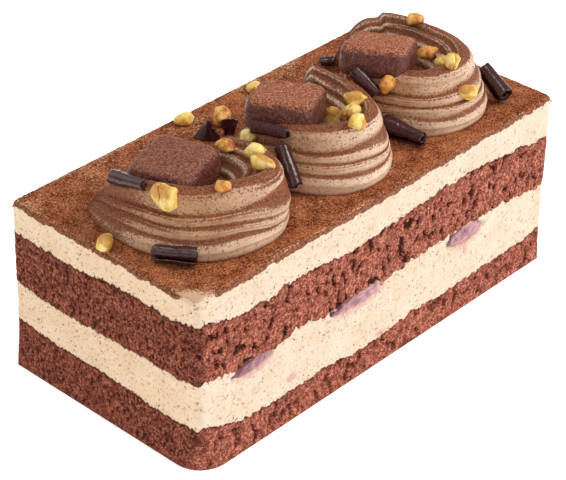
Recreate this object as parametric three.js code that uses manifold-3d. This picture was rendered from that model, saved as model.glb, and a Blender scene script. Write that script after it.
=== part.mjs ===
// Chocolate layer cake: two sponges and two creams, three piped swirls with chocolate and nuts.
// Millimetres, +Z up, X along the cake, origin at the middle of the base.

import * as THREE from "three";
import { LoftGeometry } from "three/addons/geometries/LoftGeometry.js";
import { RoundedBoxGeometry } from "three/addons/geometries/RoundedBoxGeometry.js";
import { mergeVertices } from "three/addons/utils/BufferGeometryUtils.js";
import Module from "manifold-3d";

// Cake body
const LENGTH = 160;
const WIDTH = 79;
const HEIGHT = 61.5;
const GAP = 0.3;

// Upright corners, the foot of the bottom sponge with its worn -X -Y corner, and the worn rim of the top
const CORNER_RADIUS = 3;
const FOOT = { cornerRadius: 1, wornRadius: 14, inset: 0.1 };
const RIM = { width: 2, drop: 1.5, nick: 0.4, nickAlong: 6.3, nickAcross: 4.7 };

// Layer boundaries: height along the long sides, rise towards the -X end, size of the waves
const BOUNDARIES = [
  { z: 11.4, endRise: 4.4, wave: 0.9, seed: 1 },
  { z: 31.0, endRise: 1.2, wave: 0.9, seed: 2 },
  { z: 50.0, endRise: 2.6, wave: 1.0, seed: 3 },
];
const END_RISE = { from: -58, to: -78 };
const WAVES = {
  long: { share: 0.6, length: 9.1, shift: 2.3 },
  short: { share: 0.4, length: 4.3, shift: 4.1 },
  across: { share: 0.5, length: 6.7, shift: 1.7 },
};

// Grid of the layer solids, and how deep and how closely the crumb of the sponge is pitted
const GRID = { along: 20, across: 8, up: 2 };
const CRUMB = { depth: 0.9, along: 1.7, across: 1.3, up: 24 };

// Berry pieces at the lower edge of the upper sponge, cut open at the -Y wall
const BERRY = { halfDepth: 4, sink: 2, facetsAround: 10, facetsUp: 6 };
const BERRIES = [
  { x: -58, z: 29.6, halfLength: 10, halfHeight: 2.3, tilt: 2 },
  { x: -12, z: 29.3, halfLength: 14, halfHeight: 2.3, tilt: 1 },
  { x: 39, z: 28.9, halfLength: 10, halfHeight: 3.5, tilt: -4 },
];

// Piped swirls: centre, reach of the foot to each side, bearings of the rope's start, tip and end,
// rise of the tip, and how far the side section is taken
const SWIRLS = [
  { x: -44.5, y: -1.3, left: 28.5, right: 22.9, deep: 32, from: 138, tip: 360, to: 380, rise: -0.1, side: 1 },
  { x: 1, y: -2, left: 22.7, right: 22.7, deep: 32, from: 148, tip: 395, to: 403, rise: 0.15, side: 0.6 },
  { x: 47, y: -1.5, left: 22.7, right: 25, deep: 31, from: 148, tip: 412, to: 449, rise: 0.06, side: 0.4 },
];
const SWIRL_ROUNDNESS = 2.2;

// Rope of cream from a star nozzle, laid from the -X side round the front to the back
// Spans are shares of its run
const ROPE = {
  steps: 31,
  widthShare: 0.33,
  height: 17,
  start: { height: 0.7, width: 0.8, settled: 0.25 },
  end: { width: 0.7, from: 0.75, curl: 3 },
  tip: { climb: 75, length: 6, drop: 0.1 },
  roundEnd: 0.05,
  bluntness: 0.3,
};

// Section of the rope: foot, then crest and valley of each strand in turn, as shares of half width and height
const FRONT_SECTION = [
  [0.95, 0], [1, 0.22],
  [0.77, 0.36], [0.78, 0.48],
  [0.56, 0.52], [0.56, 0.64],
  [0.33, 0.67], [0.3, 0.95],
  [0.02, 1.05], [-0.14, 1.07],
  [-0.3, 0.96], [-0.42, 0.96],
  [-0.52, 0.84], [-0.66, 0.82],
  [-0.72, 0.66], [-0.84, 0.6],
  [-0.88, 0.4], [-0.97, 0.3],
  [-0.97, 0.02],
];

// Where the rope turns to the back its top strands stand further out and a ramp opens below them
const SIDE_SECTION = [
  [0.95, 0], [1.02, 0.12],
  [0.97, 0.2], [1.03, 0.28],
  [0.98, 0.36], [1.03, 0.46],
  [0.85, 0.86], [0.82, 0.95],
  [0.62, 1.03], [0.45, 1.06],
  [0.25, 0.95], [0.08, 0.96],
  [-0.1, 0.84], [-0.3, 0.84],
  [-0.45, 0.66], [-0.6, 0.6],
  [-0.7, 0.4], [-0.85, 0.3],
  [-0.9, 0.02],
];
const SIDE = { from: 250, full: 300, leave: 330, left: 375, kept: 0.4 };
const CORE = { along: 12, across: 15, height: 13, shoulder: [0.9, 0.7], crown: 0.65, facets: 14 };

// Chocolate squares bedded in the swirls: centre above the top, turn, and lean away from the front
const BLOCK = { length: 21, width: 21, height: 10.2, radius: 2.4 };
const BLOCKS = [
  { x: -49.9, y: -0.3, z: 13.7, yaw: -73, lean: -3 },
  { x: -5.2, y: -2.6, z: 17.1, yaw: -61, lean: 10 },
  { x: 38, y: -2, z: 17.7, yaw: -62, lean: 14 },
];

// Rolled chocolate: ends of the axis above the top, radius, turns of the sheet, and where its edge lies
const SHEET = { thickness: 0.26, pitch: 0.38, stepsPerTurn: 12 };
const CURLS = [
  { from: [-65.1, 9.6, 14], to: [-66.2, -5.9, 18], radius: 2.1, turns: 1.4, edge: 40 },
  { from: [-72.6, -14.8, 3.3], to: [-65.3, -25.5, 3.3], radius: 2.75, turns: 1.4, edge: 200 },
  { from: [-19.5, -2.5, 16.4], to: [-16.6, -14.6, 17.4], radius: 2.1, turns: 1.4, edge: 70 },
  { from: [-18.3, -12.7, 13.7], to: [-21.2, -20.9, 3.8], radius: 3, turns: 1.4, edge: 300 },
  { from: [43.6, 28, 2.2], to: [47, 25, 2.2], radius: 1.8, turns: 1.3, edge: 30 },
  { from: [24.2, -3.6, 19.1], to: [26.9, -10.9, 12.2], radius: 2.9, turns: 1.5, edge: 120 },
  { from: [25.5, -15.6, 4], to: [27.2, -30.4, 3.5], radius: 3.1, turns: 1.4, edge: 250 },
  { from: [67.6, -20.8, 9.2], to: [65.6, -32, 3.7], radius: 3.1, turns: 1.4, edge: 200 },
];

// Chocolate flakes standing on the top: middle of the foot, turn, lean, width at foot and tip, and bow
const FLAKE = { thickness: 0.7, cells: 4, rows: 2 };
const FLAKES = [
  { x: -14.4, y: 22, yaw: -57, lean: 18, height: 6.2, foot: 9.4, tip: 1.6, bow: -1.6 },
  { x: -8.6, y: 18.2, yaw: -40, lean: 6, height: 5.6, foot: 2.4, tip: 5.8, bow: 1.2 },
];

// Chopped nuts: centre above the top, half sizes along, across and up, and turn
const NUTS = [
  { x: -78, y: -0.4, z: 2.5, size: [2.6, 2.4, 2.3], yaw: -30 },
  { x: -65.6, y: -13, z: 17.3, size: [4.2, 3.9, 4.2], yaw: -47 },
  { x: -12.5, y: 34, z: 1.9, size: [3.4, 2.2, 1.7], yaw: -40 },
  { x: -5.2, y: 25.4, z: 3.2, size: [3.1, 2.6, 3], yaw: 10 },
  { x: -31.4, y: -3.6, z: 15.2, size: [3, 2.1, 1.9], yaw: -60 },
  { x: -18.9, y: 0.3, z: 11.4, size: [2.4, 2.3, 3], yaw: 20 },
  { x: -29.6, y: -13.2, z: 16.8, size: [3.7, 2.3, 2.1], yaw: -52 },
  { x: -33.8, y: -21.1, z: 17.5, size: [5.2, 2.4, 2.2], yaw: -56 },
  { x: -51.8, y: -22.5, z: 18.7, size: [2.8, 1.6, 1.3], yaw: -50 },
  { x: 17.4, y: 32, z: 1.7, size: [2.6, 1.9, 1.5], yaw: -30 },
  { x: 9.1, y: -8.8, z: 10, size: [2.9, 2.6, 3.1], yaw: 15 },
  { x: 12.7, y: -15.1, z: 17.3, size: [3.9, 2.4, 2.3], yaw: -62 },
  { x: 8.1, y: -17.3, z: 15.7, size: [2.9, 2.6, 2.4], yaw: -20 },
  { x: 1, y: -25.9, z: 18.8, size: [2.9, 2.3, 2.2], yaw: -47 },
  { x: 27.7, y: 0.6, z: 12, size: [1.7, 1.9, 2.4], yaw: -40 },
  { x: 29.2, y: -13.4, z: 15.2, size: [2.2, 2.1, 2.8], yaw: -30 },
  { x: 57.3, y: -7, z: 13, size: [4.2, 1.8, 1.7], yaw: -44 },
  { x: 52.9, y: -15.2, z: 14.5, size: [2, 2.2, 2.4], yaw: -20 },
  { x: 48.8, y: -23, z: 19.1, size: [2.2, 2.3, 2.5], yaw: -60 },
  { x: 49.8, y: -29.3, z: 10.8, size: [3.3, 2.2, 2.2], yaw: -40 },
  { x: 61.6, y: 4, z: 19.6, size: [3.5, 1.9, 1.6], yaw: -36 },
];
const NUT_CHOPS = { count: 3, depth: 0.55, spread: 0.25 };

const RANDOM = { stride: 7919, factor: 16807, range: 2147483647 };

const LOOKS = {
  sponge: { color: 0x6e3b2c, roughness: 0.95 },
  cream: { color: 0xe6cda8, roughness: 0.7 },
  swirl: { color: 0xb9906a, roughness: 0.6 },
  chocolate: { color: 0x3f2422, roughness: 0.4 },
  curl: { color: 0x241517, roughness: 0.25 },
  nut: { color: 0xe3b558, roughness: 0.4 },
  berry: { color: 0x6d3a52, roughness: 0.35 },
};

const wasm = await Module();
wasm.setup();

function radians(degrees) {
  return THREE.MathUtils.degToRad(degrees);
}

function between(value, low, high) {
  return THREE.MathUtils.smoothstep(value, low, high);
}

// Closed mesh to solid, for cutting and joining
function solid(geometry) {
  const bare = new THREE.BufferGeometry().copy(geometry);
  bare.deleteAttribute("normal");
  bare.deleteAttribute("uv");
  const merged = mergeVertices(bare, 1e-4);
  const vertProperties = Float32Array.from(merged.attributes.position.array);
  const triVerts = Uint32Array.from(merged.index.array);
  return new wasm.Manifold(new wasm.Mesh({ numProp: 3, vertProperties, triVerts }));
}

function geometryOf(body) {
  const { vertProperties, triVerts } = body.getMesh();
  const geometry = new THREE.BufferGeometry();
  geometry.setAttribute("position", new THREE.BufferAttribute(vertProperties, 3));
  geometry.setIndex(new THREE.BufferAttribute(triVerts, 1));
  geometry.computeVertexNormals();
  return geometry;
}

function part(name, geometry, look) {
  const material = new THREE.MeshStandardMaterial({ ...look, metalness: 0 });
  const mesh = new THREE.Mesh(geometry, material);
  mesh.name = name;
  return mesh;
}

function placed(geometry, { x, y, z, yaw = 0, pitch = 0, roll = 0 }) {
  const turn = new THREE.Euler(radians(roll), radians(pitch), radians(yaw), "ZYX");
  const at = new THREE.Vector3(x, y, z);
  const one = new THREE.Vector3(1, 1, 1);
  const matrix = new THREE.Matrix4().compose(at, new THREE.Quaternion().setFromEuler(turn), one);
  return geometry.applyMatrix4(matrix);
}

// Height of a boundary between two layers: waves along plus waves across, so that the grid cells stay flat
function boundaryHeight({ z, endRise, wave, seed }, x, y) {
  const swing = ({ share, length, shift }, at) => share * Math.sin(at / length + seed * shift);
  const rise = endRise * (1 - between(x, END_RISE.to, END_RISE.from));
  return z + rise + wave * (swing(WAVES.long, x) + swing(WAVES.short, x) + swing(WAVES.across, y));
}

// Grid position -1..1 to a distance from the middle, with a narrow outermost cell
function spread(unit, cells, half) {
  const step = 2 / cells;
  const inner = (half - RIM.width) / (1 - step);
  return Math.abs(unit) > 1 - step / 2 ? Math.sign(unit) * half : unit * inner;
}

// A point of a square-cornered plan moved onto the same plan with round corners
function rounded(x, y, radius) {
  const cornerX = LENGTH / 2 - radius;
  const cornerY = WIDTH / 2 - radius;
  const overX = Math.abs(x) - cornerX;
  const overY = Math.abs(y) - cornerY;
  if (overX <= 0 || overY <= 0) return [x, y];
  const pull = Math.max(overX, overY) / Math.hypot(overX, overY);
  return [Math.sign(x) * (cornerX + overX * pull), Math.sign(y) * (cornerY + overY * pull)];
}

// One layer between two height functions; the wall function gives corner radius and inset
function layer(floor, ceiling, wall) {
  const geometry = new THREE.BoxGeometry(2, 2, 1, GRID.along, GRID.across, GRID.up);
  const position = geometry.attributes.position;
  for (let i = 0; i < position.count; i++) {
    const level = position.getZ(i) + 0.5;
    const onSide = Math.max(Math.abs(position.getX(i)), Math.abs(position.getY(i))) === 1;
    let x = spread(position.getX(i), GRID.along, LENGTH / 2);
    let y = spread(position.getY(i), GRID.across, WIDTH / 2);
    const z = THREE.MathUtils.lerp(floor(x, y, onSide), ceiling(x, y, onSide), level);
    const { cornerRadius, inset } = wall(x, y, level);
    [x, y] = rounded(x, y, cornerRadius);
    const shrink = onSide ? inset : 0;
    x *= 1 - shrink / (LENGTH / 2);
    y *= 1 - shrink / (WIDTH / 2);
    position.setXYZ(i, x, y, z);
  }
  return geometry;
}

// Rows of the wall at the floor and ceiling of a layer stay in place, so that layers meet edge to edge
function crumbInset(x, y, level) {
  if (level === 0 || level === 1) return 0;
  const rough = Math.sin(x * CRUMB.along + level * CRUMB.up) * Math.sin(y * CRUMB.across - level * CRUMB.up);
  return CRUMB.depth * (1 + rough) / 2;
}

function plainWall() {
  return { cornerRadius: CORNER_RADIUS, inset: 0 };
}

function crumbWall(x, y, level) {
  return { cornerRadius: CORNER_RADIUS, inset: crumbInset(x, y, level) };
}

function footWall(x, y, level) {
  const footRadius = x < 0 && y < 0 ? FOOT.wornRadius : FOOT.cornerRadius;
  const cornerRadius = THREE.MathUtils.lerp(footRadius, CORNER_RADIUS, level);
  return { cornerRadius, inset: level === 0 ? FOOT.inset : crumbInset(x, y, level) };
}

function above(boundary) {
  return (x, y) => boundaryHeight(boundary, x, y) + GAP / 2;
}

function below(boundary) {
  return (x, y) => boundaryHeight(boundary, x, y) - GAP / 2;
}

// The top is level inside and wears down at the rim
function top(x, y, onSide) {
  const nick = RIM.nick * Math.sin(x / RIM.nickAlong) * Math.cos(y / RIM.nickAcross);
  return onSide ? HEIGHT - RIM.drop + nick : HEIGHT;
}

// Berry piece, before it is cut off flush with the wall of the cake
function berry({ x, z, halfLength, halfHeight, tilt }, grow) {
  const ball = new THREE.SphereGeometry(1, BERRY.facetsAround, BERRY.facetsUp);
  ball.scale(halfLength + grow, BERRY.halfDepth + grow, halfHeight + grow);
  return placed(ball, { x, y: -WIDTH / 2 + BERRY.sink, z, pitch: -tilt });
}

function cakeBlock() {
  const block = new THREE.BoxGeometry(LENGTH, WIDTH - 2 * GAP, HEIGHT);
  return block.translate(0, 0, HEIGHT / 2);
}

// Plan outline of a swirl's foot in a given direction
function reach(swirl, bearing) {
  const along = Math.cos(bearing);
  const side = along < 0 ? swirl.left : swirl.right;
  const a = Math.abs(along / side) ** SWIRL_ROUNDNESS;
  const b = Math.abs(Math.sin(bearing) / swirl.deep) ** SWIRL_ROUNDNESS;
  return (a + b) ** (-1 / SWIRL_ROUNDNESS);
}

// Rope thickness and height along its run from 0 to 1: blunt start, rise to a tip, then a low lobe
function ropeSwell(swirl, bearing, t) {
  const { start, end, tip, roundEnd, bluntness } = ROPE;
  const nearest = 1 - Math.min(1, Math.min(t, 1 - t) / roundEnd);
  const round = Math.max(bluntness, Math.sqrt(1 - nearest * nearest));
  const settled = between(t, 0, start.settled);
  const rise = swirl.rise * between(bearing, swirl.tip - tip.climb, swirl.tip);
  const climb = THREE.MathUtils.lerp(start.height, 1, settled) + rise;
  const drop = tip.drop * between(bearing, swirl.tip, swirl.tip + tip.length);
  const narrow = THREE.MathUtils.lerp(1, end.width, between(t, end.from, 1));
  return {
    width: round * THREE.MathUtils.lerp(start.width, 1, settled) * narrow,
    height: round * (climb - drop),
  };
}

// How far the rope has taken its side section
function sideShare(swirl, bearing) {
  const leaving = THREE.MathUtils.lerp(1, SIDE.kept, between(bearing, SIDE.leave, SIDE.left));
  return swirl.side * between(bearing, SIDE.from, SIDE.full) * leaving;
}

// Section of the rope where it has run a share t of its way
function ropeSection(swirl, t) {
  const degrees = THREE.MathUtils.lerp(swirl.from, swirl.to, t);
  const bearing = radians(degrees);
  const swell = ropeSwell(swirl, degrees, t);
  const outer = reach(swirl, bearing);
  const half = outer * ROPE.widthShare * swell.width;
  const middle = outer - half - ROPE.end.curl * between(t, ROPE.end.from, 1);
  const side = sideShare(swirl, degrees);
  return FRONT_SECTION.map(([frontOut, frontUp], i) => {
    const out = THREE.MathUtils.lerp(frontOut, SIDE_SECTION[i][0], side);
    const up = THREE.MathUtils.lerp(frontUp, SIDE_SECTION[i][1], side);
    return new THREE.Vector3(
      swirl.x + Math.cos(bearing) * (middle + out * half),
      swirl.y + Math.sin(bearing) * (middle + out * half),
      HEIGHT + GAP + up * ROPE.height * swell.height,
    );
  }).reverse();
}

function ropeGeometry(swirl) {
  const sections = [];
  for (let i = 0; i <= ROPE.steps; i++) sections.push(ropeSection(swirl, i / ROPE.steps));
  return new LoftGeometry(sections, { capStart: true, capEnd: true });
}

// Low mound of cream under a chocolate square
function coreGeometry({ x, y }) {
  const profile = [
    new THREE.Vector2(0, 0),
    new THREE.Vector2(1, 0),
    new THREE.Vector2(...CORE.shoulder),
    new THREE.Vector2(CORE.crown, 1),
    new THREE.Vector2(0, 1),
  ];
  const mound = new THREE.LatheGeometry(profile, CORE.facets);
  mound.rotateX(Math.PI / 2);
  mound.scale(CORE.along, CORE.across, CORE.height);
  return mound.translate(x, y, HEIGHT + GAP);
}

function blockGeometry({ x, y, z, yaw, lean }, grow) {
  const { length, width, height, radius } = BLOCK;
  const box = new RoundedBoxGeometry(length + 2 * grow, width + 2 * grow, height + 2 * grow, 1, radius);
  return placed(box, { x, y, z: HEIGHT + z, yaw, roll: -lean });
}

// Section of a rolled sheet: out along the outer face, back along the inner face
function rollShape({ radius, turns, edge }) {
  const steps = Math.round(turns * SHEET.stepsPerTurn);
  const face = (inset) => (_, i) => {
    const turn = (turns * i) / steps;
    const r = radius * (1 - SHEET.pitch * turn - inset);
    const angle = radians(edge) + 2 * Math.PI * turn;
    return new THREE.Vector2(r * Math.cos(angle), r * Math.sin(angle));
  };
  const outer = Array.from({ length: steps + 1 }, face(0));
  const inner = Array.from({ length: steps + 1 }, face(SHEET.thickness));
  return new THREE.Shape([...outer, ...inner.reverse()]);
}

// A geometry made along +Z, with +Y as its upper side, laid along the axis of a curl
function laidAlong(geometry, { from, to }) {
  const start = new THREE.Vector3(...from);
  const axis = new THREE.Vector3(...to).sub(start).normalize();
  const side = new THREE.Vector3().crossVectors(new THREE.Vector3(0, 0, 1), axis).normalize();
  const up = new THREE.Vector3().crossVectors(axis, side);
  geometry.applyMatrix4(new THREE.Matrix4().makeBasis(side, up, axis));
  return geometry.translate(start.x, start.y, HEIGHT + start.z);
}

function curlLength({ from, to }) {
  return new THREE.Vector3(...from).distanceTo(new THREE.Vector3(...to));
}

function curlGeometry(curl) {
  const roll = new THREE.ExtrudeGeometry(rollShape(curl), { depth: curlLength(curl), bevelEnabled: false });
  return laidAlong(roll, curl);
}

// Room that a curl takes up in the cream
function curlRoom(curl) {
  const length = curlLength(curl);
  const room = new THREE.CylinderGeometry(curl.radius + GAP, curl.radius + GAP, length + 2 * GAP, 12);
  room.rotateX(Math.PI / 2);
  return laidAlong(room.translate(0, 0, length / 2), curl);
}

// Broken flake: a bowed sheet that widens or narrows from its foot to its tip
function flakeGeometry({ x, y, yaw, lean, height, foot, tip, bow }) {
  const sheet = new THREE.BoxGeometry(1, FLAKE.thickness, height, FLAKE.cells, 1, FLAKE.rows);
  sheet.translate(0, 0, height / 2);
  const position = sheet.attributes.position;
  for (let i = 0; i < position.count; i++) {
    const across = position.getX(i);
    const width = THREE.MathUtils.lerp(foot, tip, position.getZ(i) / height);
    position.setX(i, across * width);
    position.setY(i, position.getY(i) + bow * (1 - 4 * across * across));
  }
  return placed(sheet, { x, y, z: HEIGHT + GAP, yaw, roll: -lean });
}

// Seeded numbers from 0 to 1
function randomFrom(seed) {
  let state = seed * RANDOM.stride;
  return () => {
    state = (state * RANDOM.factor) % RANDOM.range;
    return state / RANDOM.range;
  };
}

// Chopped nut: a ball with a few flat cuts, then stretched to size
function nutGeometry({ x, y, z, size, yaw }, seed, grow) {
  const random = randomFrom(seed);
  const ball = new THREE.IcosahedronGeometry(1, 1);
  const position = ball.attributes.position;
  const point = new THREE.Vector3();
  const cuts = Array.from({ length: NUT_CHOPS.count }, () => {
    const facing = new THREE.Vector3(random() - 0.5, random() - 0.5, random() - 0.5).normalize();
    return { facing, depth: NUT_CHOPS.depth + NUT_CHOPS.spread * random() };
  });
  for (let i = 0; i < position.count; i++) {
    point.fromBufferAttribute(position, i);
    for (const { facing, depth } of cuts) {
      const over = point.dot(facing) - depth;
      if (over > 0) point.addScaledVector(facing, -over);
    }
    position.setXYZ(i, point.x, point.y, point.z);
  }
  ball.scale(size[0] + grow, size[1] + grow, size[2] + grow);
  return placed(ball, { x, y, z: HEIGHT + z, yaw });
}

function makeBody(cake) {
  const [lower, middle, upper] = BOUNDARIES;
  const pockets = BERRIES.map((berryPlace) => solid(berry(berryPlace, GAP)));
  let creamMiddle = solid(layer(above(lower), below(middle), plainWall));
  let spongeUpper = solid(layer(above(middle), below(upper), crumbWall));
  for (const pocket of pockets) {
    creamMiddle = creamMiddle.subtract(pocket);
    spongeUpper = spongeUpper.subtract(pocket);
  }
  cake.add(part("sponge_bottom", layer(() => 0, below(lower), footWall), LOOKS.sponge));
  cake.add(part("cream_middle", geometryOf(creamMiddle), LOOKS.cream));
  cake.add(part("sponge_upper", geometryOf(spongeUpper), LOOKS.sponge));
  cake.add(part("cream_top", layer(above(upper), top, plainWall), LOOKS.cream));
  const inside = solid(cakeBlock());
  BERRIES.forEach((berryPlace, i) => {
    const piece = solid(berry(berryPlace, 0)).intersect(inside);
    cake.add(part(`berry_${i + 1}`, geometryOf(piece), LOOKS.berry));
  });
}

// Swirls, with room for the toppings that are pressed into them
function makeSwirls(cake) {
  const rooms = [
    ...BLOCKS.map((block) => blockGeometry(block, GAP)),
    ...CURLS.map(curlRoom),
    ...NUTS.map((nut, i) => nutGeometry(nut, i + 1, GAP)),
  ].map(solid);
  SWIRLS.forEach((swirl, i) => {
    let body = solid(ropeGeometry(swirl)).add(solid(coreGeometry(BLOCKS[i])));
    for (const room of rooms) body = body.subtract(room);
    cake.add(part(`swirl_${i + 1}`, geometryOf(body), LOOKS.swirl));
  });
}

function makeToppings(cake) {
  BLOCKS.forEach((block, i) => {
    cake.add(part(`chocolate_block_${i + 1}`, blockGeometry(block, 0), LOOKS.chocolate));
  });
  CURLS.forEach((curl, i) => {
    cake.add(part(`chocolate_curl_${i + 1}`, curlGeometry(curl), LOOKS.curl));
  });
  FLAKES.forEach((flake, i) => {
    cake.add(part(`chocolate_flake_${i + 1}`, flakeGeometry(flake), LOOKS.curl));
  });
  NUTS.forEach((nut, i) => {
    cake.add(part(`nut_${i + 1}`, nutGeometry(nut, i + 1, 0), LOOKS.nut));
  });
}

const cake = new THREE.Group();
makeBody(cake);
makeSwirls(cake);
makeToppings(cake);

export default cake;
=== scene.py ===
# Chocolate layer cake: crumb, cream, cocoa, piped swirls, chocolate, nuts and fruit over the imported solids.
# Lengths are in millimetres until a mesh is made.

import math

import bmesh
import bpy
import numpy as np
from mathutils import Matrix, Vector, noise


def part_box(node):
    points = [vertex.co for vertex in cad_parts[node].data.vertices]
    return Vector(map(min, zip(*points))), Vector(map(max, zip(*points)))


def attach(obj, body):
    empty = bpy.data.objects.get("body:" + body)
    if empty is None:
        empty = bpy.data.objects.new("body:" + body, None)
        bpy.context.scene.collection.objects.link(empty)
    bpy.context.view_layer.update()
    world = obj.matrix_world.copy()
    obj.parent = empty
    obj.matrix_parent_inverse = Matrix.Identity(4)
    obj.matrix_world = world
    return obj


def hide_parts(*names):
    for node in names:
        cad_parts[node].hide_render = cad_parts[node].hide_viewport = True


MM = 0.001
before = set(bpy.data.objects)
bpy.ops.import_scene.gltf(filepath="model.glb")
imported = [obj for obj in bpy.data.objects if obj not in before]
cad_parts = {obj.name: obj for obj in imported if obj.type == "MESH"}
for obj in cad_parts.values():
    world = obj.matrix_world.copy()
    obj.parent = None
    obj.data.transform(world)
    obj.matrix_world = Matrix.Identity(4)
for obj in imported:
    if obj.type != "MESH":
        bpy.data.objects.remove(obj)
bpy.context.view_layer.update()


def node_box(node):
    """Lowest and highest corner of a node, in millimetres."""
    low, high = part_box(node)
    return np.array(low) / MM, np.array(high) / MM


# Cake body, from the frame
BODY_LOW, BODY_HIGH = node_box("cream_top")
LENGTH = BODY_HIGH[0] - BODY_LOW[0]
WIDTH = -2 * BODY_LOW[1]
HEIGHT = BODY_HIGH[2]
WALL_STEP = 0.38

# Corner radii in the order +X -Y, +X +Y, -X +Y, -X -Y, upright and on the ground
UPRIGHT = (3.0, 3.0, 3.0, 3.0)
GROUND = (1.0, 1.0, 1.0, 10.0)
FOOT_HEIGHT = 13.0
FLARE = 3.0
END_LEAN = 2.0
RIM = {"drop": 1.5, "width": 2.0, "rows": 7, "dusted": 1.5}

# Height of each layer boundary along the long wall and across the -X wall
LONG_AT = (-77, -65, -53, -40, -27, -14, -1, 13, 27, 42, 57, 73)
SHORT_AT = (-37, -29, -17, -4, 9, 22, 35)
END_REACH = 18.0
BOUNDARIES = {
    "lower": {
        "long": (16.8, 12.3, 11.0, 10.6, 12.0, 9.8, 10.1, 12.0, 11.0, 11.4, 11.1, 12.5),
        "short": (15.8, 14.7, 15.3, 16.5, 16.5, 16.2, 17.8),
    },
    "middle": {
        "long": (33.4, 30.2, 29.4, 32.3, 30.9, 29.9, 30.3, 31.6, 31.9, 31.2, 31.6, 29.6),
        "short": (33.2, 32.0, 32.3, 31.8, 31.2, 31.3, 32.5),
    },
    "upper": {
        "long": (53.2, 49.9, 49.3, 50.0, 50.2, 48.2, 49.5, 50.1, 51.3, 51.3, 50.3, 47.4),
        "short": (54.4, 52.7, 53.6, 53.2, 51.7, 51.9, 52.1),
    },
}
RAGGED = {
    "wide": {"size": 3.0, "long": 1.1, "short": 0.4},
    "fine": {"size": 1.1, "long": 1.0, "short": 0.8},
}
EDGE_FADE = 1.1
LONG_EDGE = 0.4
DARK_CORNER = 3.2
GROUND_CRUST = 2.5
SHADE_FADE = 0.9
# Denser crumb towards the ground: between these heights the painted shade in the pits falls to the share
# given as pits
DENSE_CRUMB = {"below": 13.0, "above": 26.0, "pits": 0.6}

# Cocoa on the top and on the worn rim
COCOA = {
    "inset": 0.4, "step": 0.55, "edge_step": 0.25, "edge_band": 3.0,
    "lift": 0.22, "sink": 0.5, "edge": 0.9,
}
BARE_CORNER = {"bare": 2.0, "covered": 11.0}

# Loose grains of cocoa on the top and crumbs on the walls
GRAINS = {"count": 3200, "seed": 70, "sizes": (0.12, 0.3), "inside": 1.0}
CRUMBS = {"count": 900, "seed": 80, "sizes": (0.1, 0.34), "spread": 1.6}

# Piped swirls, as in the solids: centre, reach of the foot to each side, bearings of start, tip and end
SWIRLS = (
    {
        "x": -44.5, "y": -1.3, "left": 28.5, "right": 22.9,
        "across": 32.0, "start": 138, "tip": 360, "end": 380,
    },
    {
        "x": 1.0, "y": -2.0, "left": 22.7, "right": 22.7,
        "across": 32.0, "start": 148, "tip": 395, "end": 403,
    },
    {
        "x": 47.0, "y": -1.5, "left": 22.7, "right": 25.0,
        "across": 31.0, "start": 148, "tip": 412, "end": 449,
    },
)
TIP_RISE = (-0.1, 0.15, 0.06)
EXTRA_COCOA = (
    {"start": 0.55, "back": 0.1},
    {"start": 0.15, "back": 0.08},
    {"start": 0.15, "back": 0.1},
)
SWIRL_ROUNDNESS = 2.2
ROPE = {
    "steps": 190,
    "lobe_steps": 12,
    "width_share": 0.33,
    "height": 17.0,
    "round_end": 0.08,
    "end_width": 0.7,
    "end_curl": 3.0,
    "waver": 0.05,
    "merge": 0.22,
    "ridges": 0.02,
}
# Section of the rope in front and where it turns to the back: foot, then crest and valley of each strand
FRONT_SECTION = (
    (0.95, 0.0), (1.0, 0.22),
    (0.77, 0.36), (0.78, 0.48),
    (0.56, 0.52), (0.56, 0.64),
    (0.33, 0.67), (0.3, 0.95),
    (0.02, 1.05), (-0.14, 1.07),
    (-0.3, 0.96), (-0.42, 0.96),
    (-0.52, 0.84), (-0.66, 0.82),
    (-0.72, 0.66), (-0.84, 0.6),
    (-0.88, 0.4), (-0.97, 0.3),
    (-0.97, 0.02),
)
SIDE_SECTION = (
    (0.95, 0.0), (1.02, 0.12),
    (0.97, 0.2), (1.03, 0.28),
    (0.98, 0.36), (1.03, 0.46),
    (0.85, 0.86), (0.82, 0.95),
    (0.62, 1.03), (0.45, 1.06),
    (0.25, 0.95), (0.08, 0.96),
    (-0.1, 0.84), (-0.3, 0.84),
    (-0.45, 0.66), (-0.6, 0.6),
    (-0.7, 0.4), (-0.85, 0.3),
    (-0.9, 0.02),
)
SIDE = {"from": 250, "full": 300, "leave": 330, "left": 375, "kept": 0.4}
SIDE_SHARE = (1.0, 0.6, 0.4)
RAMP_LOBE = 2
OUTER_LOBES = 4
# Share of the cocoa film and painted shade kept on the foot lobe
FOOT_FILM_AND_SHADE = 0.6
LOBES = np.arange(len(FRONT_SECTION) // 2 * ROPE["lobe_steps"] + 1) / ROPE["lobe_steps"]
# Bearings, for each swirl, over which the cocoa film and the painted shade on the side away from the key
# light fade out
FILM_AND_SHADE_BEARINGS = ((238, 316), (220, 292), (225, 300))
GROOVES = {"at": (0.3, 0.62), "width": 0.1, "depth": 0.085}
CORE = {"along": 12.0, "across": 15.0, "height": 13.0, "flutes": 9, "flute": 0.07, "twist": 3.0}

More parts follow.
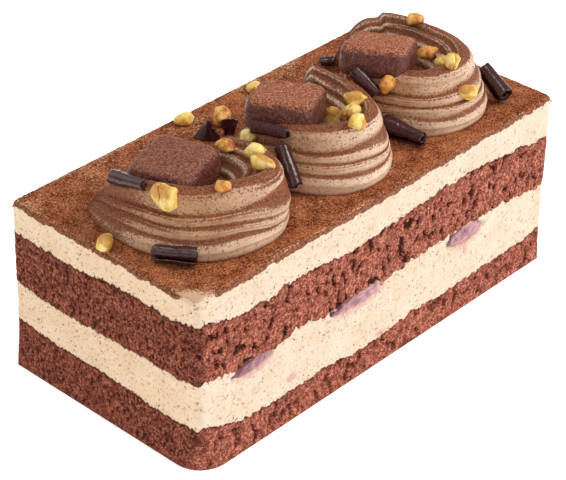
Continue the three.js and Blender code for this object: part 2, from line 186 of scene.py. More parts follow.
# Rolled chocolate, as in the solids: ends of the axis above the top, radius, turns, place of the edge, taper
SHEET = {"thickness": 0.15, "pitch": 0.36, "flap": 0.1, "steps_per_turn": 48, "steps_along": 30}
CURLS = (
    ((-65.1, 9.6, 14.0), (-66.2, -5.9, 18.0), 2.1, 1.4, 40, -0.15),
    ((-72.6, -14.8, 3.3), (-65.3, -25.5, 3.3), 2.75, 1.4, 200, 0.05),
    ((-19.5, -2.5, 16.4), (-16.6, -14.6, 17.4), 2.1, 1.4, 70, -0.15),
    ((-18.3, -12.7, 13.7), (-21.2, -20.9, 3.8), 3.0, 1.4, 300, 0.1),
    ((43.6, 28.0, 2.2), (47.0, 25.0, 2.2), 1.8, 1.3, 30, 0.1),
    ((24.2, -3.6, 19.1), (26.9, -10.9, 12.2), 2.9, 1.5, 120, 0.05),
    ((25.5, -15.6, 4.0), (27.2, -30.4, 3.5), 3.1, 1.4, 250, -0.25),
    ((67.6, -20.8, 9.2), (65.6, -32.0, 3.7), 3.1, 1.4, 200, 0.1),
)

# Chocolate flakes, as in the solids
FLAKE = {"thickness": 0.5, "columns": 40, "rows": 26}
FLAKES = (
    {"x": -14.4, "y": 22.0, "yaw": -57, "lean": 18, "height": 6.2, "foot": 9.4, "tip": 1.6, "bow": -1.6},
    {"x": -8.6, "y": 18.2, "yaw": -40, "lean": 6, "height": 5.6, "foot": 2.4, "tip": 5.8, "bow": 1.2},
)

# Chocolate squares, nuts and fruit; a mesh is remade from the solid with this voxel size and smoothing
BLOCK_MESH = {"voxel": 0.42, "smoothing": 14}
# Cocoa on the top of each square; the larger shares on the second and third also paint the brighter light on
# their tops
BLOCK_COCOA_AND_LIGHT = (0.5, 1.0, 1.2)
NUT_MESH = {"voxel": 0.24, "smoothing": 2}
NUT_COUNT = 21
NUT_CUTS = {"count": 5, "nearest": 0.62, "farthest": 0.9}
TOASTED_NUTS = {4, 5, 9, 15, 16, 17, 21}
SPLIT_NUTS = {2, 8, 13, 18, 19}
BERRY_MESH = {"voxel": 0.3, "smoothing": 5}
BERRY_COUNT = 3
BERRY_SINK = 1.2
BERRY_DARK = (0.45, 0.0, 0.0)

# Juice in the cream: drop below a berry, reach round it, and stains as x, z, half width and half height
JUICE = {"drop": 1.0, "reach": (2.0, 3.0, 2.2)}
STAINS = ((39.2, 24.0, 1.6, 5.0), (-41.5, 15.9, 3.0, 2.2), (-1.5, 11.5, 3.0, 1.6))

# Camera at the photograph's viewing angle
IMAGE = (566, 480)
FOCAL_PIXELS = 2055.0
SENSOR = 36.0
VIEW = {"azimuth": -46.58, "elevation": 33.27, "place": (-397.97, -373.19, 385.20)}
FAR_METRES = 20

# Stage: place, width and power of each round light, and its colour
FLOOR_METRES = 6.0
LIGHTS = {
    "key": ((620, -520, 760), 520, 7.0, (1.0, 0.98, 0.95)),
    "fill": ((-700, -560, 600), 900, 1.2, (1.0, 0.9, 0.8)),
    "back": ((-200, 900, 700), 900, 1.5, (1.0, 0.98, 0.96)),
    "top": ((-80, 60, 1100), 240, 1.1, (1.0, 1.0, 1.0)),
    "glint": ((-560, -210, 870), 80, 0.55, (1.0, 1.0, 1.0)),
}
SKY = {"colour": (1.0, 0.97, 0.93), "strength": 0.44}


def smoothstep(low, high, value):
    t = np.clip((np.asarray(value, float) - low) / (high - low), 0.0, 1.0)
    return t * t * (3.0 - 2.0 * t)


def lerp(a, b, t):
    return a + (b - a) * t


def grain(points, size, seed):
    """Smooth noise of about -1 to 1, with features about `size` millimetres wide."""
    shift = Vector((seed * 13.7, seed * -7.3, seed * 5.9))
    flat = np.asarray(points, float).reshape(-1, 3) / size
    values = [noise.noise(Vector(p) + shift) for p in flat]
    return np.array(values).reshape(np.shape(points)[:-1])


def lumps(points, size, seed):
    """Distance to the nearest of scattered points, in cells of `size` millimetres."""
    shift = Vector((seed * 3.1, seed * 9.7, seed * -4.3))
    flat = np.asarray(points, float).reshape(-1, 3) / size
    values = [noise.voronoi(Vector(p) + shift)[0][0] for p in flat]
    return np.array(values).reshape(np.shape(points)[:-1])


# Mesh helpers


def new_piece(name, points, faces, material, attributes=None):
    """Smooth mesh object from points in millimetres, with a value for each point under each label."""
    mesh = bpy.data.meshes.new(name)
    mesh.from_pydata(np.asarray(points, float).reshape(-1, 3) * MM, [], faces)
    mesh.update()
    mesh.shade_smooth()
    for label, values in (attributes or {}).items():
        add_attribute(mesh, label, values)
    mesh.materials.append(material)
    piece = bpy.data.objects.new(name, mesh)
    bpy.context.scene.collection.objects.link(piece)
    return piece


def add_attribute(mesh, label, values):
    layer = mesh.attributes.new(label, "FLOAT", "POINT")
    layer.data.foreach_set("value", np.asarray(values, np.float32).ravel())


def upward(mesh):
    """Vertical part of each vertex normal."""
    normals = np.empty(len(mesh.vertices) * 3, np.float32)
    mesh.vertex_normals.foreach_get("vector", normals)
    return normals.reshape(-1, 3)[:, 2]


def on_cake(piece, slot, *nodes):
    """Fix a piece to the cake, in place of the nodes that are named."""
    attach(piece, "root")
    if nodes:
        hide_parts(*nodes)
    return piece


def grid_faces(rows, columns, closed):
    """Quads of a grid of points, row by row; a closed grid joins its last column to its first."""
    across = columns if closed else columns - 1
    row, column = np.meshgrid(np.arange(rows - 1), np.arange(across), indexing="ij")
    here = row * columns + column
    right = row * columns + (column + 1) % columns
    return np.stack([here, right, right + columns, here + columns], -1).reshape(-1, 4).tolist()


def fan(ring, centre):
    return [(a, b, centre) for a, b in zip(ring, np.roll(ring, -1))]


# Cake layers


def outline(radii):
    """Plan of the cake with round corners: points and outward normals, the same count for any radii."""
    arc_steps = max(4, round(max(UPRIGHT) * math.pi / 2 / WALL_STEP))
    turns = ((1, -1, -90), (1, 1, 0), (-1, 1, 90), (-1, -1, 180))
    arcs = []
    for (side_x, side_y, start), radius in zip(turns, radii):
        angles = np.radians(start + 90 * np.arange(arc_steps + 1) / arc_steps)
        normal = np.stack([np.cos(angles), np.sin(angles)], -1)
        centre = np.array([side_x * (LENGTH / 2 - radius), side_y * (WIDTH / 2 - radius)])
        arcs.append((centre + radius * normal, normal))
    points, normals = [], []
    for i, (arc, normal) in enumerate(arcs):
        following = arcs[(i + 1) % len(arcs)][0][0]
        run = (WIDTH, LENGTH)[i % 2]
        steps = round(run / WALL_STEP)
        share = (np.arange(1, steps) / steps)[:, None]
        points += [arc, lerp(arc[-1], following, share)]
        normals += [normal, np.repeat(normal[-1:], steps - 1, 0)]
    return np.concatenate(points), np.concatenate(normals)


PLAN, NORMALS = outline(UPRIGHT)
GROUND_PLAN = outline(GROUND)[0]


def wall(z):
    """Place of each wall column at heights z: the back leans out below and the far end above."""
    foot = np.clip(1 - z / FOOT_HEIGHT, 0, 1)[..., None]
    at = lerp(PLAN, GROUND_PLAN, foot)
    back = np.clip(at[..., 1] / (WIDTH / 2), 0, 1)
    at[..., 1] += FLARE * back * (1 - z / HEIGHT)
    at[..., 0] += end_lean(at[..., 0]) * z / HEIGHT
    return np.concatenate([at, z[..., None]], -1)


def end_lean(x):
    """How far the top reaches out towards the +X end."""
    return END_LEAN * np.clip(x / (LENGTH / 2), 0, 1)


def boundary(name):
    """Height function of a layer boundary, ragged where crumb and cream meet."""
    heights = BOUNDARIES[name]
    seed = list(BOUNDARIES).index(name) + 1

    def height(plan):
        x, y = plan[..., 0], plan[..., 1]
        near_end = 1 - smoothstep(-LENGTH / 2, -LENGTH / 2 + END_REACH, x)
        across = np.interp(y, SHORT_AT, heights["short"]) - heights["short"][0]
        z = np.interp(x, LONG_AT, heights["long"]) + near_end * across
        at = np.stack([x, y, np.full_like(x, seed * 40.0)], -1)
        on_long = smoothstep(WIDTH / 2 - 3, WIDTH / 2 - 1, np.abs(y))
        for rough in RAGGED.values():
            z = z + lerp(rough["short"], rough["long"], on_long) * grain(at, rough["size"], seed)
        return z

    return height


def level(z):
    return lambda plan: np.full(plan.shape[:-1], z)


def layer_piece(name, floor, ceiling, edges, relief, material, slot):
    """One layer: a fine wall with relief, closed by plain caps where the next layer hides it."""
    low, high = floor(PLAN), ceiling(PLAN)
    rows = max(4, round(float(np.mean(high - low)) / WALL_STEP))
    z = lerp(low, high, np.linspace(0, 1, rows + 1)[:, None])
    points = wall(z)
    depth, attributes = relief(points, high - z)
    points[..., :2] -= NORMALS * depth[..., None]
    attributes["edge"] = nearness(z, low, high, edges) * lerp(1, LONG_EDGE, attributes["cut"])
    return capped_wall(name, points, attributes, material, slot)


def nearness(z, low, high, edges):
    """1 at an edge where crumb meets cream, fading away from it."""
    away = np.full(z.shape, np.inf)
    if "low" in edges:
        away = np.minimum(away, z - low)
    if "high" in edges:
        away = np.minimum(away, high - z)
    return np.exp(-away / EDGE_FADE)


def capped_wall(name, points, attributes, material, slot):
    """Closed layer from the rows of its wall, with plain faces across its lowest and highest row."""
    rows, columns = points.shape[:2]
    faces = grid_faces(rows, columns, True)
    first, last = np.arange(columns), np.arange(columns) + (rows - 1) * columns
    middles = [points[row].mean(0) for row in (0, -1)]
    count = rows * columns
    faces += fan(first[::-1], count) + fan(last, count + 1)
    everything = np.concatenate([points.reshape(-1, 3), middles])
    padded = {label: np.append(values.ravel(), [0, 0]) for label, values in attributes.items()}
    return on_cake(new_piece(name, everything, faces, material, padded), slot, name)


def long_wall(points):
    """1 on the two cut long walls, 0 on the short ones."""
    return np.broadcast_to(smoothstep(0.3, 0.7, np.abs(NORMALS[:, 1])), points.shape[:-1])


def sponge_relief(points, under):
    """Open crumb: lumps, upright crevices and torn holes, finer on the short walls, with a mask of painted
    shade in the pits and painted shadow under the cream.
    """
    cut = long_wall(points)
    tall = points * np.array([1.0, 1.0, 0.6])
    small = lumps(points, 0.95, 2)
    holes = smoothstep(0.2, 0.48, grain(tall, 1.75, 3) + 0.4 * grain(points, 0.9, 4))
    torn = 0.65 * lumps(tall, 1.5, 1) + 0.4 * small + holes - 0.5
    pores = smoothstep(0.1, 0.45, grain(tall, 0.8, 5))
    fine = 0.5 * small + 0.4 * pores - 0.25
    dense = smoothstep(DENSE_CRUMB["above"], DENSE_CRUMB["below"], points[..., 2])
    open_share = lerp(1.0, DENSE_CRUMB["pits"], dense)
    # The pit mask is painted shade in the pits, crevices and holes that the relief cuts.
    pit_shade = lerp(smoothstep(0.0, 0.45, fine), open_share * smoothstep(0.0, 0.8, torn), cut)
    # Painted shadow under the cream above, darkest at the top of the crumb.
    shade = np.exp(-under / SHADE_FADE) * (0.6 + 0.7 * grain(points, 1.6, 6))
    corner = np.hypot(points[..., 0] + LENGTH / 2, points[..., 1] + WIDTH / 2) / DARK_CORNER
    stain = np.exp(-corner * corner) * (0.6 + 0.6 * grain(points, 3.0, 16))
    # One mask takes the painted shade and the darker near corner.
    pit_shade = np.maximum(pit_shade, np.maximum(shade, stain))
    depth = lerp(fine, torn, cut) * smoothstep(0.0, GROUND_CRUST, points[..., 2])
    return np.maximum(depth, BERRY_SINK * berry_share(points)), {"pit_shade": pit_shade, "cut": cut}


def cream_relief(points, under):
    """Smoothed cream: slow waves and small open pores, sunk where a berry piece shows."""
    waves = 0.16 * grain(points, 6.0, 7) + 0.1 * grain(points, 1.4, 8)
    pores = smoothstep(0.25, 0.6, grain(points, 0.95, 9))
    depth = 0.12 + waves + 0.3 * pores * smoothstep(0.0, SHADE_FADE, under)
    # The pores also give the mask of painted shade in them.
    attributes = {"pit_shade": pores, "cut": long_wall(points), "juice": juice(points)}
    return np.maximum(depth, BERRY_SINK * berry_share(points)), attributes


def berry_place(index):
    low, high = node_box(f"berry_{index + 1}")
    return (low + high) / 2, (high - low) / 2


def berry_share(points):
    """1 where a berry piece lies in the wall, with a soft ragged outline."""
    share = np.zeros(points.shape[:-1])
    for i in range(BERRY_COUNT):
        centre, half = berry_place(i)
        along, _, up = np.moveaxis((points - centre) / half, -1, 0)
        away = np.hypot(along, up) + 0.25 * grain(points, 2.2, 53)
        on_wall = np.abs(points[..., 1] - centre[1]) < 2 * half[1]
        share = np.maximum(share, on_wall * (1 - smoothstep(0.75, 1.0, away)))
    return share


def juice(points):
    """Stain of fruit juice in the cream round the berry pieces."""
    stain = np.zeros(points.shape[:-1])
    for i in range(BERRY_COUNT):
        centre, half = berry_place(i)
        away = (points - centre + np.array([0, 0, JUICE["drop"]])) / (half + np.array(JUICE["reach"]))
        stain = np.maximum(stain, 1 - smoothstep(0.6, 1.15, np.linalg.norm(away, axis=-1)))
    for x, z, wide, tall in STAINS:
        away = np.hypot((points[..., 0] - x) / wide, (points[..., 2] - z) / tall)
        on_wall = points[..., 1] < -WIDTH / 2 + 3
        stain = np.maximum(stain, on_wall * (1 - smoothstep(0.4, 1.1, away)))
    return stain


def bare_corner(points):
    """1 at the -X -Y corner of the top, where little cocoa lies, fading away from it."""
    away = np.hypot(points[..., 0] + LENGTH / 2, points[..., 1] + WIDTH / 2)
    away = away + 1.6 * grain(points, 2.5, 17) + 0.8 * grain(points, 0.9, 18)
    return 1 - smoothstep(BARE_CORNER["bare"], BARE_CORNER["covered"], away)


def rim_height(inside):
    """Height of the top at a distance inside the wall: a worn quarter round, then level."""
    out = 1 - np.clip(inside / RIM["width"], 0, 1)
    return HEIGHT - RIM["drop"] * (1 - np.sqrt(1 - out * out))


def top_cream(material):
    """Upper cream: its wall runs over the worn rim onto the top."""
    low = boundary("upper")(PLAN)
    high = np.full(len(PLAN), HEIGHT - RIM["drop"])
    rows = round(float(np.mean(high - low)) / WALL_STEP)
    z = lerp(low, high, np.linspace(0, 1, rows + 1)[:, None])
    points = wall(z)
    depth, attributes = cream_relief(points, high - z)
    points[..., :2] -= NORMALS * depth[..., None]
    attributes["edge"] = nearness(z, low, high, {"low"}) * lerp(1, LONG_EDGE, attributes["cut"])
    turn = (np.arange(1, RIM["rows"] + 1) / RIM["rows"] * math.pi / 2)[:, None]
    inside = RIM["width"] * (1 - np.cos(turn))
    plan = points[-1, :, :2] - NORMALS * inside[..., None]
    rise = np.broadcast_to(rim_height(inside), plan.shape[:2])
    over = np.concatenate([plan, rise[..., None]], -1)
    over += 0.2 * grain(over, 1.2, 10)[..., None]
    cut = np.broadcast_to(attributes["cut"][-1], over.shape[:2])
    plain = np.zeros_like(cut)
    rest = {"pit_shade": plain, "cut": cut, "juice": plain, "edge": plain}
    joined = {label: np.concatenate([attributes[label], rest[label]]) for label in rest}
    everything = np.concatenate([points, over])
    ragged = 0.8 * grain(everything, 4.0, 19) + 0.6 * grain(everything, 1.1, 26)
    above = everything[..., 2] - HEIGHT + RIM["dusted"] + ragged
    joined["dust"] = smoothstep(-0.4, 0.4, above) - bare_corner(everything)
    return capped_wall("cream_top", everything, joined, material, "cream")


# Cocoa on the top


def cocoa_lines(half):
    """Grid lines from -half to half, closer together near both ends."""
    band = np.arange(0, COCOA["edge_band"], COCOA["edge_step"])
    inner = half - COCOA["edge_band"]
    middle = np.linspace(-inner, inner, round(2 * inner / COCOA["step"]))
    return np.concatenate([-half + band, middle, (half - band)[::-1]])


def inside_distance(x, y):
    """Distance from a point of the top to the wall, with round corners."""
    radius = UPRIGHT[0]
    over_x = np.abs(x) - (LENGTH / 2 - radius)
    over_y = np.abs(y) - (WIDTH / 2 - radius)
    corner = np.hypot(np.maximum(over_x, 0), np.maximum(over_y, 0))
    return radius - corner - np.minimum(np.maximum(over_x, over_y), 0)


def cocoa_top(material):
    """Sifted cocoa: a grainy sheet that follows the worn rim and thins out along a ragged edge."""
    x, y = np.meshgrid(*(cocoa_lines(side / 2 - COCOA["inset"]) for side in (LENGTH, WIDTH)))
    at = np.stack([x, y, np.zeros_like(x)], -1)
    inside = inside_distance(x, y)
    ragged = COCOA["edge"] + 0.5 * grain(at, 3.0, 11) + 0.3 * grain(at, 1.0, 12)
    cover = smoothstep(-0.4, 0.4, inside - ragged)
    powder = 0.1 * grain(at, 0.9, 13) + 0.12 * grain(at, 2.8, 14)
    z = rim_height(inside) + (COCOA["lift"] + powder) * cover - COCOA["sink"] * (1 - cover)
    thin = 0.45 * (1 - smoothstep(0.3, 3.5, inside)) + 0.4 * grain(at, 9.0, 15)
    thin += 0.2 * smoothstep(18, 38, y) + 1.8 * bare_corner(at)
    points = np.stack([x + end_lean(x), y, z], -1)
    piece = new_piece("cocoa_top", points, grid_faces(*x.shape, False), material, {"thin": thin})
    return on_cake(piece, "swirl")


# Piped swirls


def reach(swirl, bearing):
    """Distance from the centre of a swirl to the edge of its foot."""
    along, across = np.cos(bearing), np.sin(bearing)
    side = np.where(along < 0, swirl["left"], swirl["right"])
    power = SWIRL_ROUNDNESS
    return (np.abs(along / side) ** power + np.abs(across / swirl["across"]) ** power) ** (-1 / power)


def side_share(index, bearing):
    """How far the rope has taken the section it has where it turns to the back."""
    leaving = lerp(1, SIDE["kept"], smoothstep(SIDE["leave"], SIDE["left"], bearing))
    return SIDE_SHARE[index] * smoothstep(SIDE["from"], SIDE["full"], bearing) * leaving


def rope_section(index, t, bearing):
    """Section of the rope at each step: a rounded lobe through each crest, with all of them wavering."""
    side = side_share(index, bearing)[:, None, None]
    controls = lerp(np.array(FRONT_SECTION), np.array(SIDE_SECTION), side)
    apart = np.arange(controls.shape[1]) * 1.7
    at = np.stack(np.broadcast_arrays((t * 8)[:, None], apart, index * 7.0), -1)
    waver = np.stack([grain(at, 1.0, 20), grain(at, 1.0, 21)], -1)
    waver[:, [0, -1]] = 0
    controls = controls + ROPE["waver"] * waver
    joined = smoothstep(0.12, 0.5, grain(at * np.array([0.5, 1.0, 1.0]), 1.0, 24))
    merge = ROPE["merge"] * joined[:, 2:-1:2, None]
    crests = (controls[:, 1:-2:2] + controls[:, 3::2]) / 2
    controls[:, 2:-1:2] = lerp(controls[:, 2:-1:2], crests, merge)
    share = (np.arange(ROPE["lobe_steps"]) / ROPE["lobe_steps"])[:, None]
    lobes = []
    for i in range(0, controls.shape[1] - 1, 2):
        start, crest, end = (controls[:, None, i + k] for k in range(3))
        pull = 2 * crest - (start + end) / 2
        lobes.append((1 - share) ** 2 * start + 2 * share * (1 - share) * pull + share**2 * end)
    return np.concatenate([*lobes, controls[:, -1:]], 1)


def ramp_share(index, bearing):
    """1 on the ramp that opens under the top strand where the rope turns to the back."""
    ledge = smoothstep(0.4, 0.6, LOBES - RAMP_LOBE) * (LOBES < RAMP_LOBE + 1)
    return side_share(index, bearing)[:, None] * ledge


def strand_dust():
    """Cocoa that settles behind the crest of each outer strand and between the inner ones; the dark line
    along each crease is partly painted shade.
    """
    share = LOBES % 1
    crease_cocoa_and_shade = np.exp(-((np.minimum(share, 1 - share) / 0.07) ** 2))
    behind = 0.4 * smoothstep(0.5, 1.0, share) + 0.4 * crease_cocoa_and_shade + 0.12 * (LOBES >= OUTER_LOBES - 1)
    between = 0.1 + 0.85 * (1 - np.sin(math.pi * share))
    return np.where(LOBES < OUTER_LOBES, behind, between)


def strand_shade():
    """Painted shade: 1 deep between two strands, fading towards their crests."""
    share = LOBES % 1
    return np.exp(-((np.minimum(share, 1 - share) / 0.2) ** 2))


def strand_grooves(run):
    """Fine lines that the teeth of the nozzle leave along each strand."""
    lines = sum(np.exp(-(((LOBES % 1 - at) / GROOVES["width"]) ** 2)) for at in GROOVES["at"])
    return GROOVES["depth"] * lines * (0.6 + 0.8 * grain(run * np.array([0.6, 0.2, 1.0]), 1.0, 25))


def rope_swell(swirl, rise, bearing, t):
    """Width and height of the rope along its run: blunt start, rise to a tip, then a low lobe."""
    nearest = 1 - np.minimum(1, np.minimum(t, 1 - t) / ROPE["round_end"])
    ends = np.maximum(0.02, np.sqrt(1 - nearest * nearest))
    settled = smoothstep(0, 0.25, t)
    climb = lerp(0.7, 1.0, settled) + rise * smoothstep(swirl["tip"] - 75, swirl["tip"], bearing)
    drop = 0.1 * smoothstep(swirl["tip"], swirl["tip"] + 6, bearing)
    width = ends * lerp(0.8, 1.0, settled) * lerp(1.0, ROPE["end_width"], smoothstep(0.75, 1, t))
    return width, ends * (climb - drop)


def rope_points(index):
    swirl = SWIRLS[index]
    t = np.linspace(0, 1, ROPE["steps"] + 1)
    degrees = lerp(swirl["start"], swirl["end"], t)
    bearing = np.radians(degrees)
    width, height = rope_swell(swirl, TIP_RISE[index], degrees, t)
    outer = reach(swirl, bearing)
    half = outer * ROPE["width_share"] * width
    middle = outer - half - ROPE["end_curl"] * smoothstep(0.75, 1, t)
    section = rope_section(index, t, degrees)
    round_section = np.linspace(0, 48, section.shape[1])
    run = np.stack(np.broadcast_arrays((t * 5)[:, None], round_section, index * 7.0), -1)
    ridges = ROPE["ridges"] * grain(run, 1.0, 22) - strand_grooves(run)
    distance = middle[:, None] + (section[..., 0] + ridges) * half[:, None]
    x = swirl["x"] + np.cos(bearing)[:, None] * distance
    y = swirl["y"] + np.sin(bearing)[:, None] * distance
    z = HEIGHT + section[..., 1] * (ROPE["height"] * height)[:, None]
    extra = EXTRA_COCOA[index]
    heavy = extra["start"] * (1 - smoothstep(0.1, 0.32, t)) + extra["back"] * smoothstep(0.5, 0.8, t)
    ends = 0.4 * (1 - smoothstep(0.0, 0.06, np.minimum(t, 1 - t)))
    cocoa = (heavy + ends)[:, None] + ramp_share(index, degrees) + strand_dust()
    # Cocoa film and painted shade: darker on the side away from the key light and deep between strands.
    film_and_shade = np.maximum((1 - smoothstep(*FILM_AND_SHADE_BEARINGS[index], degrees))[:, None], strand_shade())
    film_and_shade = film_and_shade * np.where(LOBES < 1, FOOT_FILM_AND_SHADE, 1)
    return np.stack([x, y, z], -1)[:, ::-1], {"dust": cocoa[:, ::-1], "film_and_shade": film_and_shade[:, ::-1]}


def core_points(block):
    """Mound of cream that carries a chocolate square, as rings from the foot to the crown."""
    low, high = node_box(block)
    centre = (low + high) / 2
    angles = np.linspace(0, 2 * math.pi, 96, endpoint=False)
    rise = np.linspace(0, 1, 24)[:, None]
    fluted = 1 + CORE["flute"] * np.cos(CORE["flutes"] * angles + CORE["twist"] * rise)
    spread = np.sqrt(np.clip(1 - rise**3, 0.02, 1)) * fluted
    x = centre[0] + CORE["along"] * spread * np.cos(angles)
    y = centre[1] + CORE["across"] * spread * np.sin(angles)
    z = np.broadcast_to(HEIGHT + CORE["height"] * rise, x.shape)
    return np.stack([x, y, z], -1)


def swirl_piece(index, material):
    """Rope of cream with closed ends, and the mound in its middle."""
    rope, cocoa = rope_points(index)
    steps, around = rope.shape[:2]
    faces = grid_faces(steps, around, True)
    faces += [tuple(range(around))[::-1], tuple(range((steps - 1) * around, steps * around))]
    core = core_points(f"chocolate_block_{index + 1}")
    core_rows, core_around = core.shape[:2]
    core_faces = np.array(grid_faces(core_rows, core_around, True)) + steps * around
    faces += core_faces.tolist()
    foot = steps * around + np.arange(core_around)
    faces += [tuple(foot[::-1]), tuple(foot + (core_rows - 1) * core_around)]
    points = np.concatenate([rope.reshape(-1, 3), core.reshape(-1, 3)])
    points += 0.08 * grain(points, 0.9, 23)[:, None]
    name = f"swirl_{index + 1}"
    piece = new_piece(name, points, faces, material)
    # The mound is given heavy cocoa and film, which also paint the shade beside the square.
    plain = np.full(core[..., 0].size, 0.95)
    cocoa = {label: np.append(values, plain) for label, values in cocoa.items()}
    cocoa["dust"] += 0.7 * smoothstep(0.62, 0.95, upward(piece.data))
    for label, values in cocoa.items():
        add_attribute(piece.data, label, values)
    return on_cake(piece, "swirl", name)


# Toppings


def refined(node, voxel, smoothing):
    """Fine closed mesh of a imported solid, with its facets smoothed: points, normals and faces."""
    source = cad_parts[node]
    copy = bpy.data.objects.new("refining", source.data.copy())
    bpy.context.scene.collection.objects.link(copy)
    remesh = copy.modifiers.new("remesh", "REMESH")
    remesh.mode = "VOXEL"
    remesh.voxel_size = voxel * MM
    smooth = copy.modifiers.new("smooth", "SMOOTH")
    smooth.factor = 0.5
    smooth.iterations = smoothing
    graph = bpy.context.evaluated_depsgraph_get()
    mesh = bpy.data.meshes.new_from_object(copy.evaluated_get(graph))
    points = np.array([v.co for v in mesh.vertices]) / MM
    normals = np.array([v.normal for v in mesh.vertices])
    faces = [tuple(p.vertices) for p in mesh.polygons]
    bpy.data.objects.remove(copy)
    bpy.data.meshes.remove(mesh)
    return points, normals, faces


def block_piece(index, material):
    """Soft chocolate square with a lumpy, grainy skin."""
    name = f"chocolate_block_{index + 1}"
    points, normals, faces = refined(name, **BLOCK_MESH)
    relief = 0.3 + 0.45 * grain(points, 6.0, 30) + 0.25 * grain(points, 2.2, 31)
    relief += 0.12 * grain(points, 1.0, 32)
    points += normals * relief[:, None]
    piece = new_piece(name, points, faces, material)
    # Cocoa on the upward faces, its share per square partly painted light
    add_attribute(piece.data, "dust", BLOCK_COCOA_AND_LIGHT[index] * smoothstep(0.35, 0.85, upward(piece.data)))
    return on_cake(piece, "chocolate", name)


def chopped(unit, draw):
    """A rounded piece about the origin with flat faces cut into it."""
    for _ in range(NUT_CUTS["count"]):
        side = draw.normal(size=3)
        side /= np.linalg.norm(side)
        over = np.maximum(unit @ side - draw.uniform(NUT_CUTS["nearest"], NUT_CUTS["farthest"]), 0)
        unit = unit - over[:, None] * side
    return unit


def nut_piece(index, material):
    """Chopped nut: brown skin on one side, and in some a split between its halves."""
    name = f"nut_{index + 1}"
    points, normals, faces = refined(name, **NUT_MESH)
    draw = np.random.default_rng(400 + index)
    skin_side = draw.normal(size=3)
    skin_side /= np.linalg.norm(skin_side)
    centre, half = (points.min(0) + points.max(0)) / 2, np.ptp(points, axis=0) / 2
    unit = chopped((points - centre) / half, draw)
    points = centre + half * unit
    skin = smoothstep(0.25, 0.75, unit @ skin_side)
    split_side = np.cross(skin_side, (0.3, 0.2, 1.0))
    split_side /= np.linalg.norm(split_side)
    bend = 0.25 * grain(points, 2.5, 42 + index)
    split = np.exp(-(((unit @ split_side + bend) / 0.1) ** 2)) * (index + 1 in SPLIT_NUTS)
    relief = 0.6 + 0.2 * grain(points, 1.9, 40 + index) + 0.1 * grain(points, 0.7, 41) - 0.6 * split
    points += normals * relief[:, None]
    return on_cake(new_piece(name, points, faces, material, {"skin": skin, "split": split}), "nut", name)


def berry_piece(index, material):
    """Wet piece of fruit in the wall, a little proud of the cream, darker at its -X end and red below."""
    name = f"berry_{index + 1}"
    points, normals, faces = refined(name, **BERRY_MESH)
    centre, half = berry_place(index)
    along, _, up = ((points - centre) / half).T
    patches = 0.4 * grain(points, 2.5, 52)
    attributes = {
        "dark": BERRY_DARK[index] + smoothstep(0.25, 0.9, patches - along + 0.5 * up),
        "red": smoothstep(0.3, 0.95, patches - up),
        "rim": smoothstep(0.5, 0.95, np.hypot(along, up) + patches),
    }
    points += normals * (0.1 + 0.5 * grain(points, 3.0, 50))[:, None]
    return on_cake(new_piece(name, points, faces, material, attributes), "berry", name)


def curl_section(radius, turns, edge):
    """Rolled sheet as a closed loop of points, out along the outer face and back along the inner one."""
    steps = round(turns * SHEET["steps_per_turn"])
    turn = np.linspace(0, turns, steps + 1)
    angle = math.radians(edge) + 2 * math.pi * turn
    flap = SHEET["flap"] * np.exp(-turn / 0.1)
    outer = radius * (1 - SHEET["pitch"] * turn + flap)
    inner = outer - radius * SHEET["thickness"]
    facing = np.stack([np.cos(angle), np.sin(angle)], -1)
    return np.concatenate([outer[:, None] * facing, (inner[:, None] * facing)[::-1]])


def curl_piece(index, material):
    """Chocolate shaving rolled into an open scroll with broken ends."""
    start, end, radius, turns, edge, taper = CURLS[index]
    start, end = np.array(start), np.array(end)
    length = np.linalg.norm(end - start)
    axis = (end - start) / length
    side = np.cross((0, 0, 1), axis)
    side /= np.linalg.norm(side)
    up = np.cross(axis, side)
    section = curl_section(radius, turns, edge)
    along = np.linspace(0, 1, SHEET["steps_along"] + 1)[:, None]
    end_run = np.stack([section[:, 0], section[:, 1], np.full(len(section), index * 11.0)], -1)
    ragged = 0.7 * grain(end_run, 2.2, 60) + 0.25 * grain(end_run, 0.7, 61)
    place = along * (length - 0.6) + 0.3 + ragged * (2 * along - 1)
    swell = 1 + taper * (2 * along - 1) + 0.03 * np.sin(along * 8 + index)
    flat = section[None] * swell[..., None]
    points = start + flat[..., :1] * side + flat[..., 1:] * up + place[..., None] * axis
    points[..., 2] += HEIGHT
    rows, columns = points.shape[:2]
    faces = grid_faces(rows, columns, True)
    for row, turned in ((0, False), (rows - 1, True)):
        for i in range(columns // 2 - 1):
            quad = [i, columns - 1 - i, columns - 2 - i, i + 1]
            faces.append([row * columns + k for k in (quad[::-1] if turned else quad)])
    points += 0.07 * grain(points, 1.3, 62)[..., None]
    name = f"chocolate_curl_{index + 1}"
    return on_cake(new_piece(name, points, faces, material), "curl", name)


